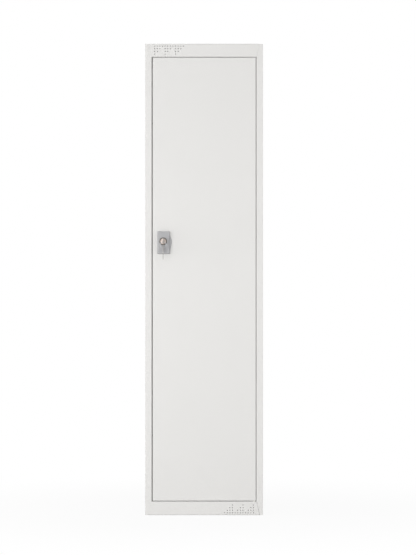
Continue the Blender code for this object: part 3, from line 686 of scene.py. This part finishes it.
def grey_rubber():
    """Dark and matt, with a pale bloom in patches and a fine moulded grain."""
    material, place = finish("grey_rubber")
    bloom = mottle(place, RUBBER_BLOOM_SCALE, detail=3)
    sockets = {
        "Base Color": blended(RUBBER_COLOUR, RUBBER_SHADE, bloom),
        "Roughness": between(RUBBER_ROUGHNESS, bloom),
        "Normal": bumped(mottle(place, RUBBER_GRAIN_SCALE), RUBBER_GRAIN_DEPTH, strength=0.5),
    }
    return surfaced(material, place, sockets)


RUBBER = grey_rubber()


def buffer(node):
    """A dome turned about its own axis: the height falls as a quarter ellipse, less a dish in the middle.

    The dish falls off with the square of the radius, and ends at a share of the dome's.
    """
    low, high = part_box(node)
    radius, thick = (high.x - low.x) / 2, high.y - low.y
    angles = np.linspace(0, math.pi / 2, BUFFER_STEPS)
    out = np.cos(angles) * radius
    dish = BUFFER_DISH * np.clip(1 - (out / (radius * DISH_SHARE)) ** 2, 0, 1)
    rise = BUFFER_RIM + (thick - BUFFER_RIM) * np.sin(angles) - dish
    profile = np.concatenate([[(0, 0), (radius, 0)], np.stack([out, rise], axis=1)])
    middle = middle_of(node)
    rings = spun(profile, (middle.x, high.y, middle.z), (0, -1, 0), steps=48)
    return stands_for(evened(skinned(f"{node}_domed", [rings], RUBBER)), node)


buffer("door_buffer_upper")
buffer("door_buffer_lower")


# Lock housing
# A grey moulding on the door, shaped as a grip: a pointed base plate, flanks that lean in to a flat face, a
# round recess for the bezel, and a threaded boss behind that passes through the door.
HOUSING_LEFT = 0.0222
HOUSING_RIGHT = 0.0251
HOUSING_TIP = 0.0324
HOUSING_ABOVE = 0.0381
HOUSING_BELOW = 0.0479
TIP_ABOVE = 0.005
TIP_BELOW = 0.0065
BULGE_ABOVE = 0.024
BULGE_BELOW = 0.0371
HOUSING_CORNER = 0.0024
HOUSING_DEPTH = 0.020
# Each level's insets at the left, the right, the tip and the ends, and its height
HOUSING_LEVELS = (
    (0, 0, 0, 0, 0.0003),
    (0, 0, 0, 0, 0.0040),
    (0.0012, 0.0009, 0.0080, 0.0012, 0.0046),
    (0.0056, 0.0024, 0.0145, 0.0024, 0.0200),
    (0.0061, 0.0029, 0.0150, 0.0029, 0.0200),
)
HOUSING_EDGE = 0.0007
CORNER_STEPS = 7
RUN_STEPS = 33
RECESS_RADIUS = 0.0149
RECESS_CHAMFER = 0.0004
RECESS_SEAT = 0.016
BARREL_BORE = 0.0093
BOSS_RADIUS = 0.012
BOSS_BACK = 0.012
THREAD_PITCH = 0.001
THREAD_DEPTH = 0.0004
THREAD_START = 0.0005
THREAD_END = 0.0004
THREAD_STEPS = 110
SCREW_HOLE = 0.0021
SCREW_HOLE_DEPTH = 0.0083
SCREW_HEIGHTS = {"lock_screw_upper": 0.029, "lock_screw_lower": -0.037}
MOULDING_COLOUR = (0.445, 0.445, 0.455, 1)
MOULDING_SHADE = (0.405, 0.405, 0.415, 1)
MOULDING_ROUGHNESS = (0.30, 0.42)
MOULDING_FLOW_SCALE = 70
MOULDING_GRAIN_SCALE = 3200
MOULDING_GRAIN_DEPTH = 0.00004
JOINT_PLACES = {joint["name"]: joint.get("pos_m") for joint in frame["record"]["behaviour"]["joints"]}
LOCK = JOINT_PLACES["lock_turn"]


def grey_moulding():
    """A spark-eroded grain a third of a millimetre across, over faint flow marks."""
    material, place = finish("grey_moulding")
    flow = mottle(place, MOULDING_FLOW_SCALE, detail=3)
    sockets = {
        "Base Color": blended(MOULDING_COLOUR, MOULDING_SHADE, flow),
        "Roughness": between(MOULDING_ROUGHNESS, flow),
        "Normal": bumped(mottle(place, MOULDING_GRAIN_SCALE), MOULDING_GRAIN_DEPTH, strength=0.45),
    }
    return surfaced(material, place, sockets)


MOULDING = grey_moulding()


def from_lock(across, up, out):
    """Places given from the lock's axis and the door's face, in the locker's frame."""
    return np.stack(np.broadcast_arrays(LOCK[0] + across, FRONT - out, LOCK[2] + up), axis=-1)


def housing_outlines(insets):
    """The housing's outline at each row of insets from its base: left, right, tip and ends.

    Its eight corners are softened as a path's are, and even points fill the straight runs between them.
    """
    left, right, tip, end = insets.T
    right_x, tip_x = HOUSING_RIGHT - right, HOUSING_TIP - tip
    left_x = left - HOUSING_LEFT
    low, high = end - HOUSING_BELOW, HOUSING_ABOVE - end
    level = np.ones_like(left)
    across = np.stack([left_x, right_x, right_x, tip_x, tip_x, right_x, right_x, left_x], axis=1)
    slants = [-BULGE_BELOW * level, -TIP_BELOW * level, TIP_ABOVE * level, BULGE_ABOVE * level]
    up = np.stack([low, low, *slants, high, high], axis=1)
    corner = np.stack([across, up], axis=-1)[:, :, None]
    before, after = (set_back(corner, np.roll(corner, way, axis=1), HOUSING_CORNER) for way in (1, -1))
    curves = curved(before, corner, after, CORNER_STEPS)
    along = np.linspace(0, 1, RUN_STEPS)[1:-1, None]
    runs = (1 - along) * after + along * np.roll(before, -1, axis=1)
    return np.concatenate([curves, runs], axis=2).reshape(len(insets), -1, 2)


def lock_housing():
    """Rings from the base outline up the flanks to the face, then circles: recess, bore, boss and thread.

    A circle's point lies on the ray from the lock's axis through the face outline's point. The thread's
    radius is the boss's less a wave that climbs one pitch for each turn.
    """
    levels = softened(HOUSING_LEVELS, HOUSING_EDGE)
    outlines = housing_outlines(levels[:, :4])
    flanks = from_lock(outlines[..., 0], outlines[..., 1], levels[:, 4, None])
    angles = np.arctan2(outlines[-1, :, 1], outlines[-1, :, 0])
    turns = np.linspace(THREAD_START - BOSS_BACK, -THREAD_END, THREAD_STEPS)
    bore = [
        (RECESS_RADIUS + RECESS_CHAMFER, HOUSING_DEPTH),
        (RECESS_RADIUS, HOUSING_DEPTH - RECESS_CHAMFER),
        (RECESS_RADIUS, RECESS_SEAT),
        (BARREL_BORE, RECESS_SEAT),
        (BARREL_BORE, -BOSS_BACK),
        (BOSS_RADIUS - THREAD_DEPTH, -BOSS_BACK),
    ]
    radii, heights = np.array(bore).T
    wave = np.cos(2 * math.pi * turns[:, None] / THREAD_PITCH + angles)
    threads = BOSS_RADIUS - THREAD_DEPTH * (0.5 - 0.5 * wave)
    radii = np.concatenate([np.repeat(radii[:, None], len(angles), axis=1), threads])
    radii = np.concatenate([radii, np.full((1, len(angles)), BOSS_RADIUS)])
    heights = np.concatenate([heights, turns, levels[:1, 4]])[:, None]
    circles = from_lock(radii * np.cos(angles), radii * np.sin(angles), heights)
    rings = np.concatenate([flanks, circles, flanks[:1]])
    rings = np.concatenate([rings, rings[:, :1]], axis=1)
    holes = [from_lock(0, up, 0) for up in SCREW_HEIGHTS.values()]
    bits = [drill(hole, (0, 1, 0), SCREW_HOLE, SCREW_HOLE_DEPTH) for hole in holes]
    piece = drilled(skinned("lock_housing_moulded", [rings], MOULDING), bits)
    return stands_for(evened(piece), "lock_housing")


lock_housing()


# Bezel
# A dark satin ring with a bevelled outer edge, turned from metal and plated; its darkness is partly its own
# and partly painted shade of the recess round the plug.
# It is pressed into the housing's recess, round the plug.
BEZEL_RADIUS = 0.0146
BEZEL_BORE = 0.0115
BEZEL_FOOT = 0.0163
BEZEL_TOP = 0.021
BEZEL_BEVEL = 0.0012
BEZEL_EDGE = 0.00025
# The ring's dark colour is partly its own and partly painted shade, standing in for the shade in the recess
# round the plug
BEZEL_COLOUR_WITH_PAINTED_SHADE = (0.14, 0.13, 0.12, 1)
BEZEL_SHADE = (0.19, 0.175, 0.16, 1)
BEZEL_METALLIC = 0.6
BEZEL_ROUGHNESS = (0.34, 0.50)
BEZEL_CLOUD_SCALE = 300
BEZEL_MARK_PITCH = 0.0004
BEZEL_MARK_DEPTH = 0.00002
LOCK_STEPS = 96


def turned_lines(place, pitch):
    """Waves of the distance from the lock's axis, from 0 to 1: the marks that a lathe leaves."""
    flat = place.vector("SUBTRACT", (LOCK[0], 0, LOCK[2])).vector("MULTIPLY", (1, 0, 1))
    away = flat.vector("LENGTH", output="Value")
    return (away * (2 * math.pi / pitch)).maths("SINE") * 0.5 + 0.5


def dark_ring():
    """A dark plated metal with fine lathe marks, paler where the plating is thin; the dark tone is partly
    painted shade of the recess round the plug.
    """
    material, place = finish("dark_ring")
    cloud = mottle(place, BEZEL_CLOUD_SCALE, detail=3)
    sockets = {
        "Base Color": blended(BEZEL_COLOUR_WITH_PAINTED_SHADE, BEZEL_SHADE, cloud),
        "Metallic": BEZEL_METALLIC,
        "Roughness": between(BEZEL_ROUGHNESS, cloud),
        "Normal": bumped(turned_lines(place, BEZEL_MARK_PITCH), BEZEL_MARK_DEPTH, strength=0.5),
    }
    return surfaced(material, place, sockets)


def lock_bezel():
    """A ring-shaped section turned about the lock's axis."""
    join = (BEZEL_BORE, (BEZEL_FOOT + BEZEL_TOP) / 2)
    profile = [
        join,
        (BEZEL_BORE, BEZEL_FOOT),
        (BEZEL_RADIUS, BEZEL_FOOT),
        (BEZEL_RADIUS, BEZEL_TOP - BEZEL_BEVEL),
        (BEZEL_RADIUS - BEZEL_BEVEL, BEZEL_TOP),
        (BEZEL_BORE, BEZEL_TOP),
        join,
    ]
    rings = spun(softened(profile, BEZEL_EDGE), from_lock(0, 0, 0), (0, -1, 0), LOCK_STEPS)
    return stands_for(evened(skinned("lock_bezel_ring", [rings], dark_ring())), "lock_bezel")


lock_bezel()


# Lock nut
# A zinc-plated hexagon nut that clamps the housing's boss against the inside of the door.
# Both its faces are chamfered, so that a round shows where the cone meets the flats.
NUT_RADIUS = 0.017
NUT_ROUND = 0.0154
NUT_CONE = 1.7
NUT_BORE = 0.0123
NUT_STEPS = 192
NUT_ROWS = 15


def lock_nut():
    """Rings whose radius is the least of the hexagon's and two cones', which narrow to the faces."""
    low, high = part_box("lock_nut")
    thick = high.y - low.y
    angles = np.linspace(0, 2 * math.pi, NUT_STEPS + 1)
    flats = NUT_RADIUS * math.cos(math.pi / 6) / np.cos(np.mod(angles, math.pi / 3) - math.pi / 6)
    depths = np.linspace(0, thick, NUT_ROWS)
    cones = NUT_ROUND + NUT_CONE * np.minimum(depths, thick - depths)
    radii = np.minimum(flats, cones[:, None])
    bore = np.full((1, len(angles)), NUT_BORE)
    radii = np.concatenate([bore, radii, bore, bore])
    depths = np.concatenate([[0], depths, [thick, 0]])[:, None]
    rings = from_lock(radii * np.cos(angles), radii * np.sin(angles), FRONT - low.y - depths)
    return stands_for(evened(skinned("lock_nut_hexagon", [rings], ZINC)), "lock_nut")


lock_nut()


# Screws of the lock
# Pan-head screws of zinc-plated steel with a cross recess: two hold the housing from inside the door, and a
# larger one holds the cam on the plug.
SCREW_SHANK = 0.0018
SCREW_HEAD = 0.002
SCREW_RIM = SCREW_HEAD / 3
SCREW_HEAD_RADIUS = 0.0035
CAM_SCREW_HEAD_RADIUS = 0.006
SCREW_ROWS = 40
# The cross recess, in shares of the head's radius and height
CROSS_ARM = 0.62
CROSS_HALF = 0.13
CROSS_SLOPE = 0.07
CROSS_DEPTH = 0.75


def pan_screw(node, head_radius, up):
    """Turned shank and seat, then a polar grid for the head's face.

    Its height is a half ellipse of the radius on a straight rim, less a cross: the depth falls off along
    each arm and is full within the arm's half width, with sloped walls.
    """
    low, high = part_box(node)
    tip, seat = FRONT - low.y, FRONT - high.y + SCREW_HEAD
    shank = [(0, tip), (SCREW_SHANK, tip), (SCREW_SHANK, seat)]
    foot = [*shank, (head_radius, seat), (head_radius, seat - SCREW_RIM)]
    side = spun(foot, from_lock(0, up, 0), (0, -1, 0), LOCK_STEPS)
    share = np.linspace(1, 0, SCREW_ROWS)[:, None]
    angles = np.linspace(0, 2 * math.pi, LOCK_STEPS + 1)
    across, along = share * np.cos(angles), share * np.sin(angles)
    near, far = np.minimum(abs(across), abs(along)), np.maximum(abs(across), abs(along))
    arm = np.clip((CROSS_HALF + CROSS_SLOPE - near) / CROSS_SLOPE, 0, 1)
    sunk = CROSS_DEPTH * arm * np.clip(1 - (far / CROSS_ARM) ** 2, 0, 1)
    rise = SCREW_RIM + (SCREW_HEAD - SCREW_RIM) * np.sqrt(1 - share**2) - SCREW_HEAD * sunk
    spokes = spun([(1, 0)], (0, 0, 0), (0, -1, 0), LOCK_STEPS)
    face = from_lock(0, up, seat - rise) + head_radius * share[..., None] * spokes
    return stands_for(evened(skinned(f"{node}_pan_head", [side, face], ZINC)), node)


for node, up in SCREW_HEIGHTS.items():
    pan_screw(node, SCREW_HEAD_RADIUS, up)
pan_screw("cam_screw", CAM_SCREW_HEAD_RADIUS, 0)


# Lock plug
# The turning barrel of the lock: nickel-plated brass, its face turned on a lathe and slotted for the key.
# Behind the door it narrows to a shaft that carries the cam.
KEYWAY_HALF = 0.0014
KEYWAY_HIGH = 0.0042
KEYWAY_LEAD = 0.0003
KEYWAY_FOOT = -0.0057
NEAR_NOUGHT = 1e-9
# The radius and height of each level, from the face to the screw's hole
PLUG_LEVELS = (
    (0.0106, 0.0195),
    (0.0112, 0.0189),
    (0.0112, 0.0163),
    (0.0090, 0.0163),
    (0.0090, -0.0135),
    (0.0045, -0.0135),
    (0.0045, -0.0243),
    (0.0021, -0.0243),
    (0.0021, -0.0160),
    (0, -0.0160),
)
PLUG_EDGE = 0.0003
PLUG_COLOUR = (0.53, 0.46, 0.42, 1)
PLUG_SHADE = (0.47, 0.40, 0.36, 1)
PLUG_MARK_PITCH = 0.0005
NICKEL_ROUGHNESS = (0.24, 0.38)
NICKEL_CLOUD_SCALE = 400
NICKEL_MARK_ROUGHNESS = 0.08
NICKEL_MARK_DEPTH = 0.00003


def nickel_plate(name, colour, shade, marks):
    """A grey plate, clouded and finely marked; marks is the pattern that the tool leaves, from 0 to 1."""
    material, place = finish(name)
    cloud = mottle(place, NICKEL_CLOUD_SCALE, detail=4)
    cut = marks(place)
    sockets = {
        "Base Color": blended(colour, shade, cloud),
        "Metallic": 1,
        "Roughness": between(NICKEL_ROUGHNESS, cloud) + NICKEL_MARK_ROUGHNESS * cut,
        "Normal": bumped(cut, NICKEL_MARK_DEPTH, strength=0.5),
    }
    return surfaced(material, place, sockets)


def lock_plug():
    """Rings from the keyway's foot up its walls to the face, then down the barrel as circles.

    The keyway's ring at an angle lies where the ray from the axis meets a rectangle, larger at its mouth.
    """
    corner = math.atan2(KEYWAY_HIGH, KEYWAY_HALF)
    corners = [corner, math.pi - corner, math.pi + corner, 2 * math.pi - corner]
    angles = np.sort(np.concatenate([np.linspace(0, 2 * math.pi, LOCK_STEPS + 1), corners]))
    beside, over = (np.maximum(abs(ray), NEAR_NOUGHT) for ray in (np.cos(angles), np.sin(angles)))
    lead = np.array([[0], [0], [KEYWAY_LEAD]])
    slot = np.minimum((KEYWAY_HALF + lead) / beside, (KEYWAY_HIGH + lead) / over)
    mouth = PLUG_LEVELS[0][1]
    levels = softened(PLUG_LEVELS, PLUG_EDGE, steps=4)
    radii = np.concatenate([0 * slot[:1], slot, np.repeat(levels[:, :1], len(angles), axis=1)])
    walls = [KEYWAY_FOOT, KEYWAY_FOOT, mouth - KEYWAY_LEAD, mouth]
    heights = np.concatenate([walls, levels[:, 1]])[:, None]
    rings = from_lock(radii * np.cos(angles), radii * np.sin(angles), heights)
    metal = nickel_plate(
        "turned_nickel", PLUG_COLOUR, PLUG_SHADE, lambda place: turned_lines(place, PLUG_MARK_PITCH)
    )
    return stands_for(evened(skinned("lock_plug_barrel", [rings], metal)), "lock_plug")


lock_plug()


# Cam
# A flat bar of zinc-plated steel on the plug's shaft, with rounded corners and broken edges. It turns behind
# the stile to hold the door shut.
CAM_HALF = 0.007
CAM_REACH = 0.040
CAM_CORNER = 0.004
CAM_EDGE = 0.0003
CAM_BORE = 0.0048
CAM_STEPS = 240


def lock_cam():
    """Rings between the bore's circle and the bar's outline, on rays from the axis.

    The outline is a rectangle with softened corners, with its points at even distances along it.
    """
    low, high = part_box("lock_cam")
    bar = [(0, -CAM_HALF), (CAM_HALF, -CAM_HALF), (CAM_HALF, CAM_REACH), (-CAM_HALF, CAM_REACH)]
    bar = softened([*bar, (-CAM_HALF, -CAM_HALF), (0, -CAM_HALF)], CAM_CORNER, steps=9)
    lengths = np.append(0, np.cumsum(np.linalg.norm(np.diff(bar, axis=0), axis=1)))
    even = np.linspace(0, lengths[-1], CAM_STEPS + 1)
    bar = np.stack([np.interp(even, lengths, side) for side in bar.T], axis=1)
    away = np.linalg.norm(bar, axis=1, keepdims=True)
    drawn_in = bar * (1 - CAM_EDGE / away)
    bore = bar * CAM_BORE / away
    depths = [low.y, low.y, low.y + CAM_EDGE, high.y - CAM_EDGE, high.y, high.y, low.y]
    loops = np.stack([bore, drawn_in, bar, bar, drawn_in, bore, bore])
    rings = from_lock(loops[..., 0], loops[..., 1], FRONT - np.array(depths)[:, None])
    return stands_for(evened(skinned("lock_cam_bar", [rings], ZINC)), "lock_cam")


lock_cam()


# Keys
# Two keys stamped from nickel-plated brass sheet: a round bow with a hole, and a blade with a milled groove
# on each side and cuts along one edge. One stands in the plug, and the other hangs from the ring.
BOW_RADIUS = 0.012
BOW_HOLE = 0.0035
KEY_SHEET = 0.0022
BLADE_HALF = 0.0039
KEY_LENGTH = 0.0414
KEY_TIP = 0.004
CUT_FIRST = 0.019
CUT_PITCH = 0.0036
CUT_FLAT = 0.0006
CUT_SLOPE = 2
CUT_DEPTHS = (0.0014, 0.0022, 0.0009, 0.0019, 0.0012)
GROOVE_START = 0.013
GROOVE_RUN_IN = 0.0009
GROOVE_AT = 0.0009
GROOVE_HALF = 0.0007
GROOVE_DEPTH = 0.0005
KEY_EDGE = 0.00025
KEY_EDGE_ANGLE = math.radians(60)
BLADE_CLEAR = 0.00002
BOW_STEPS = 49
HOLE_STEPS = 33
BLADE_STEPS = 60
KEY_ROWS = 25
RUN_DECIMALS = 7
KEY_COLOUR = (0.47, 0.45, 0.425, 1)
KEY_SHADE = (0.39, 0.375, 0.355, 1)
SCRATCH_SCALE = 5000
SCRATCH_STRETCH = (1, 0.06, 0.06)


def brushed_lines(place):
    """Fine scratches, much longer than wide, as a key gets in use."""
    return mottle(place.vector("MULTIPLY", SCRATCH_STRETCH), SCRATCH_SCALE)


KEY_METAL = nickel_plate("brushed_nickel", KEY_COLOUR, KEY_SHADE, brushed_lines)


def key(node, bow, along, across):
    """Two strips a side, above and below a middle line that parts round the bow's hole, joined by walls.

    The upper edge is the bow's circle, then the blade's edge, then the tip's slope. The lower edge is the
    same, less the cuts, each a trapezium. The groove is a bell curve across the blade.
    """
    neck = math.sqrt(BOW_RADIUS**2 - BLADE_HALF**2)
    bow_end = math.pi - math.acos(neck / BOW_RADIUS)
    round_bow = -np.cos(np.linspace(0, bow_end, BOW_STEPS)) * BOW_RADIUS
    hole_at = -np.cos(np.linspace(0, math.pi, HOLE_STEPS)) * BOW_HOLE
    middles = CUT_FIRST + CUT_PITCH * np.arange(len(CUT_DEPTHS))
    depths = np.array(CUT_DEPTHS)
    ramps = CUT_FLAT + depths / CUT_SLOPE
    bends = np.concatenate([middles - ramps, middles - CUT_FLAT, middles + CUT_FLAT, middles + ramps])
    blade = np.concatenate([np.linspace(neck, KEY_LENGTH, BLADE_STEPS), [KEY_LENGTH - KEY_TIP], bends])
    run = np.unique(np.concatenate([round_bow, hole_at, blade]).round(RUN_DECIMALS))
    bow_half = np.sqrt(np.clip(BOW_RADIUS**2 - run**2, 0, None))
    blade_half = BLADE_HALF * np.clip((KEY_LENGTH - run) / KEY_TIP, 0, 1)
    upper = np.where(run < neck, bow_half, blade_half)
    cuts = np.clip((ramps - abs(run[:, None] - middles)) * CUT_SLOPE, 0, depths).max(axis=1)
    lower = -upper + np.where(run < neck, 0, cuts)
    parting = np.sqrt(np.clip(BOW_HOLE**2 - run**2, 0, None))
    share = np.linspace(0, 1, KEY_ROWS)
    strips = [
        parting[:, None] + (upper - parting)[:, None] * share,
        -parting[:, None] + (lower + parting)[:, None] * share,
    ]
    along, across = np.array(along), np.array(across)
    outward = np.cross(along, across)
    begins = np.clip((run[:, None] - GROOVE_START) / GROOVE_RUN_IN, 0, 1)
    hole = abs(run) < BOW_HOLE + BLADE_CLEAR
    grids = []
    for strip in strips:
        groove = GROOVE_DEPTH * begins * np.exp(-(((strip - GROOVE_AT) / GROOVE_HALF) ** 2))
        flat = np.array(bow) + run[:, None, None] * along + strip[..., None] * across
        faces = [flat + side * (KEY_SHEET / 2 - groove)[..., None] * outward for side in (-1, 1)]
        edge_wall = np.stack([face[:, -1] for face in faces])
        hole_wall = np.stack([face[hole, 0] for face in faces])
        grids += [*faces, edge_wall, hole_wall]
    piece = skinned(f"{node}_cut", grids, KEY_METAL)
    softening = piece.modifiers.new("stamped edge", "BEVEL")
    softening.width = KEY_EDGE
    softening.segments = 2
    softening.limit_method = "ANGLE"
    softening.angle_limit = KEY_EDGE_ANGLE
    return stands_for(evened(piece), node)


bow_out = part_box("lock_key")[0].y + BOW_RADIUS
hung_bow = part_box("spare_key")[1].z - BOW_RADIUS
key("lock_key", (LOCK[0], bow_out, LOCK[2]), (0, 1, 0), (0, 0, 1))
key("spare_key", (LOCK[0], bow_out, hung_bow), (0, 0, -1), (0, 1, 0))


# Key ring
# A split ring of flattened spring wire, zinc plated: two coils that lie on each other, with a step between
# them where the wire crosses over.
RING_RADIUS = 0.0115
COIL_RISE = 0.00043
COIL_HALF = 0.00041
COIL_THICK = 0.00072
COIL_POWER = 3
CROSSING = 0.5
WIRE_END = math.pi * 0.75
WIRE_STEPS = 256
SECTION_STEPS = 20


def key_ring():
    """A rounded section carried twice round a circle, stepping from one coil to the other at half way.

    The section is a superellipse of power 3, drawn in to a point at both of the wire's ends.
    """
    turn = np.linspace(0, 4 * math.pi, WIRE_STEPS + 1)
    turn = np.concatenate([turn[:1], turn, turn[-1:]])[:, None]
    size = np.ones_like(turn)
    size[[0, -1]] = 0
    around = np.linspace(0, 2 * math.pi, SECTION_STEPS + 1)
    waves = np.stack([np.cos(around), np.sin(around)])
    out, rise = np.sign(waves) * abs(waves) ** (2 / COIL_POWER) * [[COIL_THICK], [COIL_HALF]]
    step = COIL_RISE * np.tanh((turn - 2 * math.pi) / CROSSING)
    radius = RING_RADIUS + size * out
    across, up = radius * np.cos(turn + WIRE_END), radius * np.sin(turn + WIRE_END)
    coils = np.array(middle_of("key_ring")) + np.stack([across, step + size * rise, up], axis=-1)
    return stands_for(evened(skinned("key_ring_split", [coils], ZINC)), "key_ring")


key_ring()
